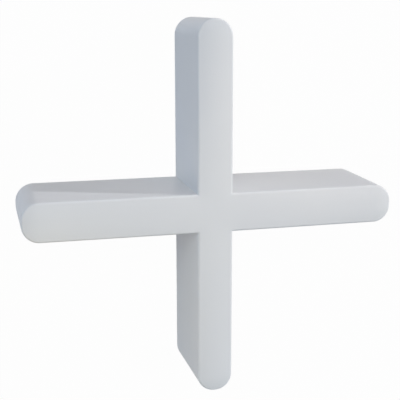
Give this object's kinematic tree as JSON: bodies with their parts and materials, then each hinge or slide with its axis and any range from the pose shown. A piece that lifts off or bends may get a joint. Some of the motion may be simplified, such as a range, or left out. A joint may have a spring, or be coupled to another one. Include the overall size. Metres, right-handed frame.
{
  "type": "tile spacer",
  "caption": "Small moulded plastic cross with round-ended arms that stands between tile corners and keeps the joints even.",
  "frame": {"origin": "centre of the back face, on which the spacer lies", "axes": "+X along the wide bar, +Y along the narrow bar, +Z from the back face to the front face"},
  "size_m": [0.032, 0.032, 0.008],
  "materials": {
    "moulded_plastic": "satin, slightly translucent off-white moulded plastic"
  },
  "bodies": {
    "root": {"tile_spacer": "moulded_plastic"}
  },
  "joints": []
}
